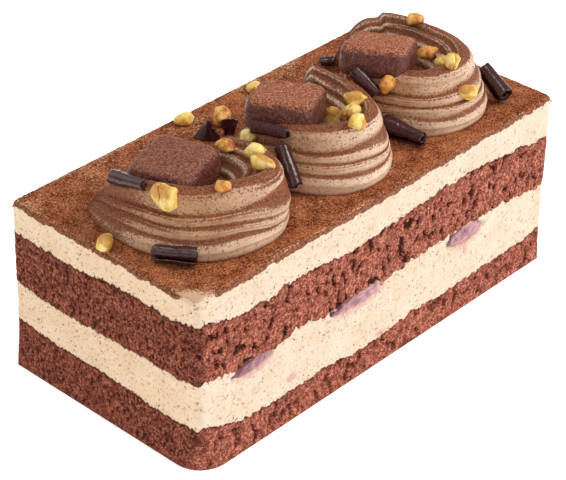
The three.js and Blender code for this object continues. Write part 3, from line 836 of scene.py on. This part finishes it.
def flake_piece(index, material):
    """Broken chocolate sheet: a bowed front and back joined round a ragged edge."""
    flake = FLAKES[index]
    columns, rows = FLAKE["columns"], FLAKE["rows"]
    across, rise = np.meshgrid(np.linspace(-0.5, 0.5, columns), np.linspace(0, 1, rows))
    rim = np.stack([across * 6, rise * 3, np.full_like(rise, index * 9.0)], -1)
    width = lerp(flake["foot"], flake["tip"], rise) * (1 + 0.06 * grain(rim, 0.8, 63))
    tall = flake["height"] * (1 + 0.06 * grain(rim, 0.6, 64) * rise)
    bow = flake["bow"] * (1 - 4 * across * across)
    sheets = []
    for face in (-0.5, 0.5):
        sheet = np.stack([across * width, bow + face * FLAKE["thickness"], rise * tall], -1)
        sheets.append(sheet.reshape(-1, 3))
    yaw = Matrix.Rotation(math.radians(flake["yaw"]), 3, "Z")
    turn = yaw @ Matrix.Rotation(math.radians(-flake["lean"]), 3, "X")
    points = np.concatenate(sheets) @ np.array(turn).T + np.array([flake["x"], flake["y"], HEIGHT])
    front = np.array(grid_faces(rows, columns, False))
    count = rows * columns
    index_grid = np.arange(count).reshape(rows, columns)
    loop = [*index_grid[0], *index_grid[1:, -1], *index_grid[-1, -2::-1], *index_grid[-2:0:-1, 0]]
    border = [(a, a + count, b + count, b) for a, b in zip(loop, np.roll(loop, -1))]
    faces = front.tolist() + (front[:, ::-1] + count).tolist() + border
    name = f"chocolate_flake_{index + 1}"
    return on_cake(new_piece(name, points, faces, material), "curl", name)


# Scattered crumbs and grains


def scatter(name, places, sizes, material, slot, seed):
    """One mesh of small rough lumps."""
    ball = bmesh.new()
    bmesh.ops.create_icosphere(ball, subdivisions=1, radius=1.0)
    unit = np.array([v.co for v in ball.verts])
    faces = np.array([[v.index for v in f.verts] for f in ball.faces])
    ball.free()
    draw = np.random.default_rng(seed)
    points, all_faces = [], []
    for i, (place, size) in enumerate(zip(places, sizes)):
        turn = Matrix.Rotation(draw.uniform(0, 2 * math.pi), 3, Vector(draw.normal(size=3)).normalized())
        lump = unit * draw.uniform(0.7, 1.2, (len(unit), 1)) * draw.uniform(0.6, 1.2, 3)
        points.append(place + size * lump @ np.array(turn))
        all_faces.append(faces + i * len(unit))
    piece = new_piece(name, np.concatenate(points), np.concatenate(all_faces).tolist(), material)
    return on_cake(piece, slot)


def cocoa_grains(material):
    """Coarser grains on the cocoa, clear of the swirls."""
    draw = np.random.default_rng(GRAINS["seed"])
    plan = draw.uniform(-0.5, 0.5, (GRAINS["count"], 2)) * np.array([LENGTH, WIDTH])
    sizes = draw.uniform(*GRAINS["sizes"], GRAINS["count"])
    inside = inside_distance(plan[:, 0], plan[:, 1])
    clear = inside > GRAINS["inside"]
    for swirl in SWIRLS:
        offset = plan - np.array([swirl["x"], swirl["y"]])
        bearing = np.arctan2(offset[:, 1], offset[:, 0])
        clear &= np.hypot(*offset.T) > reach(swirl, bearing)
    z = rim_height(inside) + COCOA["lift"]
    places = np.column_stack([plan[:, 0] + end_lean(plan[:, 0]), plan[:, 1], z])[clear]
    return scatter("cocoa_grains", places, sizes[clear], material, "swirl", GRAINS["seed"])


def wall_crumbs(material):
    """Crumbs of sponge on the cut cream, most of them close to the sponge."""
    draw = np.random.default_rng(CRUMBS["seed"])
    chosen = draw.integers(0, len(PLAN), CRUMBS["count"])
    names = list(BOUNDARIES)
    heights = {name: boundary(name)(PLAN) for name in names}
    sizes = draw.uniform(*CRUMBS["sizes"], CRUMBS["count"])
    places = []
    for column, size in zip(chosen, sizes):
        name = names[draw.integers(len(names))]
        into_cream = -1 if name == "middle" else 1
        z = heights[name][column] + into_cream * abs(draw.normal(0, CRUMBS["spread"]))
        z = np.full(len(PLAN), min(z, HEIGHT - RIM["drop"]))
        places.append(wall(z)[column] - np.append(NORMALS[column] * (0.1 + 0.6 * size), 0))
    return scatter("wall_crumbs", np.array(places), sizes, material, "sponge", CRUMBS["seed"])


# Materials


class Shader:
    """A Principled material with small helpers for its node tree."""

    def __init__(self, name, **values):
        self.material = bpy.data.materials.new(name)
        self.material.use_nodes = True
        self.nodes = self.material.node_tree.nodes
        self.links = self.material.node_tree.links
        self.surface = self.nodes["Principled BSDF"]
        for label, value in values.items():
            socket = label.replace("_", " ").title().replace("Ior", "IOR")
            self.surface.inputs[socket].default_value = value
        self.position = self.nodes.new("ShaderNodeTexCoord").outputs["Object"]

    def link(self, source, target):
        self.links.new(source, target)

    def noise(self, size, detail=3.0, roughness=0.6):
        """Noise with features about `size` millimetres wide."""
        node = self.nodes.new("ShaderNodeTexNoise")
        node.inputs["Scale"].default_value = 1 / (size * MM)
        node.inputs["Detail"].default_value = detail
        node.inputs["Roughness"].default_value = roughness
        self.link(self.position, node.inputs["Vector"])
        return node.outputs["Fac"]

    def attribute(self, name):
        node = self.nodes.new("ShaderNodeAttribute")
        node.attribute_name = name
        return node.outputs["Fac"]

    def math(self, operation, a, b):
        node = self.nodes.new("ShaderNodeMath")
        node.operation = operation
        for socket, value in zip(node.inputs, (a, b)):
            if isinstance(value, (int, float)):
                socket.default_value = value
            else:
                self.link(value, socket)
        return node.outputs["Value"]

    def sum(self, *terms):
        """Sum of sources, each with a weight."""
        total = None
        for source, weight in terms:
            term = self.math("MULTIPLY", source, weight)
            total = term if total is None else self.math("ADD", total, term)
        return total

    def ramp(self, source, *stops):
        """Colour ramp from (position, colour) stops; a plain number stands for a grey."""
        node = self.nodes.new("ShaderNodeValToRGB")
        elements = node.color_ramp.elements
        while len(elements) < len(stops):
            elements.new(0.5)
        for element, (at, colour) in zip(elements, stops):
            element.position = at
            element.color = (colour,) * 3 + (1,) if isinstance(colour, (int, float)) else (*colour, 1)
        self.link(source, node.inputs["Fac"])
        return node.outputs["Color"]

    def mask(self, name, *stops):
        """Ramp over a mesh attribute."""
        return self.ramp(self.attribute(name), *stops)

    def blend(self, share, a, b):
        """Colour a where share is 0, colour b where it is 1."""
        node = self.nodes.new("ShaderNodeMix")
        node.data_type = "RGBA"
        colour_a, colour_b = [s for s in node.inputs if s.type == "RGBA"]
        for socket, value in ((colour_a, a), (colour_b, b)):
            if isinstance(value, tuple):
                socket.default_value = (*value, 1)
            else:
                self.link(value, socket)
        self.link(share, node.inputs["Factor"])
        return next(s for s in node.outputs if s.type == "RGBA")

    def colour(self, source):
        self.link(source, self.surface.inputs["Base Color"])

    def roughness(self, source):
        self.link(source, self.surface.inputs["Roughness"])

    def bump(self, height, strength, distance):
        node = self.nodes.new("ShaderNodeBump")
        node.inputs["Strength"].default_value = strength
        node.inputs["Distance"].default_value = distance * MM
        self.link(height, node.inputs["Height"])
        self.link(node.outputs["Normal"], self.surface.inputs["Normal"])


def sponge_material():
    shader = Shader("sponge", roughness=0.9, specular_ior_level=0.15)
    fine = shader.noise(0.75, 5.0, 0.75)
    short_tones = (0.39, (0.065, 0.012, 0.007)), (0.5, (0.27, 0.062, 0.034)), (0.61, (0.55, 0.2, 0.125))
    long_tones = (0.39, (0.13, 0.022, 0.013)), (0.5, (0.41, 0.104, 0.062)), (0.61, (0.77, 0.335, 0.23))
    short = shader.ramp(fine, *short_tones)
    long = shader.ramp(fine, *long_tones)
    body = shader.blend(shader.attribute("cut"), short, long)
    # Painted shade in the crumb's pits and painted shadow under the cream, from the pit mask, with the darker
    # near corner.
    dark = shader.mask("pit_shade", (0.15, 0.0), (0.95, 0.92))
    patches = shader.ramp(shader.noise(3.6, 4.0, 0.6), (0.46, 0.0), (0.66, 0.6))
    patchy = shader.blend(patches, body, (0.15, 0.038, 0.022))
    pit_shaded = shader.blend(dark, patchy, (0.05, 0.008, 0.006))
    smear = shader.sum((shader.attribute("edge"), 0.45), (shader.noise(1.1, 3.0), 0.75))
    shader.colour(shader.blend(shader.ramp(smear, (0.78, 0.0), (0.9, 0.5)), pit_shaded, (0.5, 0.27, 0.17)))
    shader.bump(fine, 1.0, 0.5)
    return shader.material


def cream_material():
    shader = Shader("cream", roughness=0.6, specular_ior_level=0.25)
    slow = shader.noise(7.0, 3.0)
    short = shader.ramp(slow, (0.3, (0.9, 0.65, 0.42)), (0.7, (0.97, 0.76, 0.53)))
    long = shader.ramp(slow, (0.3, (0.82, 0.645, 0.475)), (0.7, (0.9, 0.745, 0.59)))
    tone = shader.blend(shader.attribute("cut"), short, long)
    fine = shader.noise(0.7, 4.0, 0.7)
    # Pores darkened partly by the mask of painted shade in them, partly by noise.
    open_pores = shader.sum((shader.attribute("pit_shade"), 0.15), (fine, 1.0))
    pored = shader.blend(shader.ramp(open_pores, (0.56, 0.0), (0.7, 0.75)), tone, (0.52, 0.31, 0.17))
    spots = shader.ramp(shader.noise(1.3, 3.0, 0.7), (0.63, 0.0), (0.68, 0.85))
    dotted = shader.blend(spots, pored, (0.2, 0.085, 0.045))
    drag = shader.sum((shader.attribute("edge"), 0.5), (shader.noise(0.7, 4.0, 0.75), 1.0))
    crumbed = shader.blend(shader.ramp(drag, (0.84, 0.0), (0.96, 0.85)), dotted, (0.16, 0.06, 0.042))
    juicy = shader.math("MULTIPLY", shader.attribute("juice"), shader.noise(1.6))
    stained = shader.blend(shader.ramp(juicy, (0.15, 0.0), (0.55, 0.8)), crumbed, (0.68, 0.34, 0.34))
    fall = shader.sum((shader.attribute("dust"), 0.6), (fine, 0.7))
    brown = shader.ramp(fine, (0.4, (0.12, 0.028, 0.01)), (0.6, (0.42, 0.16, 0.075)))
    shader.colour(shader.blend(shader.ramp(fall, (0.61, 0.0), (0.69, 1.0)), stained, brown))
    shader.bump(fine, 0.9, -0.4)
    return shader.material


def cocoa_material():
    shader = Shader("cocoa", roughness=0.95, specular_ior_level=0.1)
    fine = shader.noise(0.55, 4.0, 0.75)
    slow = shader.noise(5.0, 3.0)
    mixed = shader.sum((fine, 0.75), (slow, 0.25))
    tones = (0.42, (0.09, 0.017, 0.005)), (0.5, (0.31, 0.083, 0.031)), (0.58, (0.58, 0.23, 0.1))
    brown = shader.ramp(mixed, *tones)
    bare = shader.sum((shader.attribute("thin"), 0.25), (shader.noise(0.75, 3.0, 0.65), 1.0))
    shader.colour(shader.blend(shader.ramp(bare, (0.62, 0.0), (0.76, 0.9)), brown, (0.76, 0.52, 0.34)))
    shader.bump(fine, 0.9, 0.45)
    return shader.material


def swirl_material():
    shader = Shader("swirl_cream", roughness=0.55, specular_ior_level=0.25)
    slow = shader.noise(5.0, 3.0)
    clean = shader.ramp(slow, (0.3, (0.77, 0.54, 0.38)), (0.7, (0.88, 0.67, 0.51)))
    # Darker tone for the cocoa film and the painted shade on the swirl's far side and between strands.
    filmed_and_shaded = shader.ramp(slow, (0.3, (0.46, 0.25, 0.132)), (0.7, (0.59, 0.35, 0.2)))
    tone = shader.blend(shader.attribute("film_and_shade"), clean, filmed_and_shaded)
    fine = shader.noise(0.5, 3.0, 0.7)
    fall = shader.sum((shader.attribute("dust"), 0.42), (fine, 0.95), (shader.noise(2.4, 3.0), 0.18))
    dust = shader.ramp(fall, (0.73, 0.0), (0.81, 0.95))
    brown = shader.ramp(fine, (0.38, (0.08, 0.017, 0.006)), (0.62, (0.38, 0.125, 0.052)))
    grains = shader.sum((shader.attribute("dust"), 0.22), (shader.noise(0.65, 3.0, 0.75), 1.0))
    grained = shader.blend(shader.ramp(grains, (0.58, 0.0), (0.66, 0.9)), tone, (0.1, 0.025, 0.009))
    shader.colour(shader.blend(dust, grained, brown))
    shader.bump(fine, 0.4, 0.2)
    return shader.material


def block_material():
    shader = Shader("chocolate", roughness=0.5, specular_ior_level=0.5)
    fine = shader.noise(0.65, 4.0, 0.8)
    fall = shader.sum((shader.attribute("dust"), 0.55), (fine, 0.5), (shader.noise(3.0), 0.2))
    dust = shader.ramp(fall, (0.4, 0.0), (0.95, 1.0))
    dark = shader.ramp(fine, (0.4, (0.045, 0.009, 0.007)), (0.6, (0.25, 0.066, 0.045)))
    powder_tones = (0.42, (0.13, 0.03, 0.015)), (0.5, (0.39, 0.113, 0.052)), (0.58, (0.67, 0.275, 0.142))
    powder = shader.ramp(fine, *powder_tones)
    shader.colour(shader.blend(dust, dark, powder))
    shader.roughness(shader.ramp(dust, (0.0, 0.22), (0.8, 0.85)))
    shader.bump(fine, 1.0, 0.4)
    return shader.material


def curl_material():
    shader = Shader("curl_chocolate", roughness=0.2, specular_ior_level=0.55)
    fine = shader.noise(0.9, 3.0)
    shader.colour(shader.ramp(fine, (0.3, (0.022, 0.004, 0.006)), (0.75, (0.085, 0.018, 0.02))))
    shader.roughness(shader.ramp(fine, (0.3, 0.06), (0.7, 0.16)))
    shader.bump(shader.noise(1.3, 4.0), 0.4, 0.4)
    return shader.material


def nut_material(name, low, middle, high, skin):
    shader = Shader(name, roughness=0.35, subsurface_weight=0.15)
    shader.surface.inputs["Subsurface Radius"].default_value = (1.5 * MM, 0.8 * MM, 0.3 * MM)
    tone = shader.noise(2.2, 3.0, 0.6)
    flesh = shader.ramp(tone, (0.36, low), (0.48, middle), (0.62, high))
    covered = shader.sum((shader.attribute("skin"), 0.7), (shader.noise(1.4), 0.6))
    skinned = shader.blend(shader.ramp(covered, (0.72, 0.0), (0.98, 0.9)), flesh, skin)
    split = shader.mask("split", (0.4, 0.0), (1.0, 0.9))
    shader.colour(shader.blend(split, skinned, (0.2, 0.06, 0.01)))
    shader.bump(shader.noise(0.7), 0.3, 0.25)
    return shader.material


def berry_material():
    shader = Shader("berry", roughness=0.25)
    tone = shader.noise(2.8, 3.0, 0.55)
    tones = (0.32, (0.24, 0.07, 0.1)), (0.5, (0.36, 0.145, 0.185)), (0.68, (0.55, 0.31, 0.35))
    mauve = shader.ramp(tone, *tones)
    reddened = shader.blend(shader.mask("red", (0.1, 0.0), (1.0, 0.85)), mauve, (0.48, 0.1, 0.1))
    softened = shader.blend(shader.mask("rim", (0.0, 0.0), (1.0, 0.7)), reddened, (0.64, 0.36, 0.33))
    shader.colour(shader.blend(shader.mask("dark", (0.1, 0.0), (0.9, 0.9)), softened, (0.1, 0.012, 0.018)))
    shader.bump(tone, 0.3, 0.4)
    return shader.material


def floor_material():
    shader = Shader("floor", roughness=0.8, specular_ior_level=0.1, emission_strength=0.6)
    shader.surface.inputs["Base Color"].default_value = (0.9, 0.92, 0.95, 1)
    shader.surface.inputs["Emission Color"].default_value = (1, 1, 1, 1)
    return shader.material


# Stage


def area_light(name, place, size, power, colour):
    light = bpy.data.lights.new(name, "AREA")
    light.shape = "DISK"
    light.size = size * MM
    light.energy = power
    light.color = colour
    lamp = bpy.data.objects.new(name, light)
    lamp.location = Vector(place) * MM
    aim = Vector((0, 0, HEIGHT / 2 * MM)) - lamp.location
    lamp.rotation_euler = aim.to_track_quat("-Z", "Y").to_euler()
    bpy.context.scene.collection.objects.link(lamp)


def make_stage():
    bpy.ops.mesh.primitive_plane_add(size=FLOOR_METRES)
    floor = bpy.context.object
    floor.name = "floor"
    floor.data.materials.append(floor_material())
    for name, light in LIGHTS.items():
        area_light(name, *light)
    world = bpy.data.worlds.new("studio")
    world.use_nodes = True
    sky = world.node_tree.nodes["Background"]
    sky.inputs["Color"].default_value = (*SKY["colour"], 1)
    sky.inputs["Strength"].default_value = SKY["strength"]
    bpy.context.scene.world = world
    bpy.context.scene.view_settings.view_transform = "Standard"


def make_camera():
    azimuth, elevation = math.radians(VIEW["azimuth"]), math.radians(VIEW["elevation"])
    level_share = math.cos(elevation)
    along, across = math.sin(azimuth) * level_share, -math.cos(azimuth) * level_share
    back = Vector((along, across, math.sin(elevation)))
    data = bpy.data.cameras.new("camera")
    data.sensor_width = SENSOR
    data.lens = SENSOR * FOCAL_PIXELS / IMAGE[0]
    data.clip_end = FAR_METRES
    camera = bpy.data.objects.new("camera", data)
    camera.location = Vector(VIEW["place"]) * MM
    camera.rotation_euler = (-back).to_track_quat("-Z", "Y").to_euler()
    bpy.context.scene.collection.objects.link(camera)
    bpy.context.scene.camera = camera


def make_layers():
    sponge, cream = sponge_material(), cream_material()
    lower, middle, upper = (boundary(name) for name in BOUNDARIES)
    layer_piece("sponge_bottom", level(0.0), lower, set(), sponge_relief, sponge, "sponge")
    layer_piece("cream_middle", lower, middle, {"low", "high"}, cream_relief, cream, "cream")
    layer_piece("sponge_upper", middle, upper, {"low"}, sponge_relief, sponge, "sponge")
    top_cream(cream)
    wall_crumbs(sponge)
    berry = berry_material()
    for i in range(BERRY_COUNT):
        berry_piece(i, berry)


def make_toppings():
    cocoa, swirl = cocoa_material(), swirl_material()
    cocoa_top(cocoa)
    cocoa_grains(cocoa)
    for i in range(len(SWIRLS)):
        swirl_piece(i, swirl)
    block, curl = block_material(), curl_material()
    for i in range(len(BLOCK_COCOA_AND_LIGHT)):
        block_piece(i, block)
    for i in range(len(CURLS)):
        curl_piece(i, curl)
    for i in range(len(FLAKES)):
        flake_piece(i, curl)
    plain_tones = (0.8, 0.46, 0.07), (0.92, 0.64, 0.14), (0.97, 0.79, 0.35), (0.62, 0.28, 0.05)
    toasted_tones = (0.5, 0.14, 0.02), (0.72, 0.3, 0.05), (0.85, 0.52, 0.13), (0.3, 0.07, 0.015)
    plain = nut_material("nut", *plain_tones)
    toasted = nut_material("toasted_nut", *toasted_tones)
    for i in range(NUT_COUNT):
        nut_piece(i, toasted if i + 1 in TOASTED_NUTS else plain)


make_layers()
make_toppings()
make_stage()
make_camera()
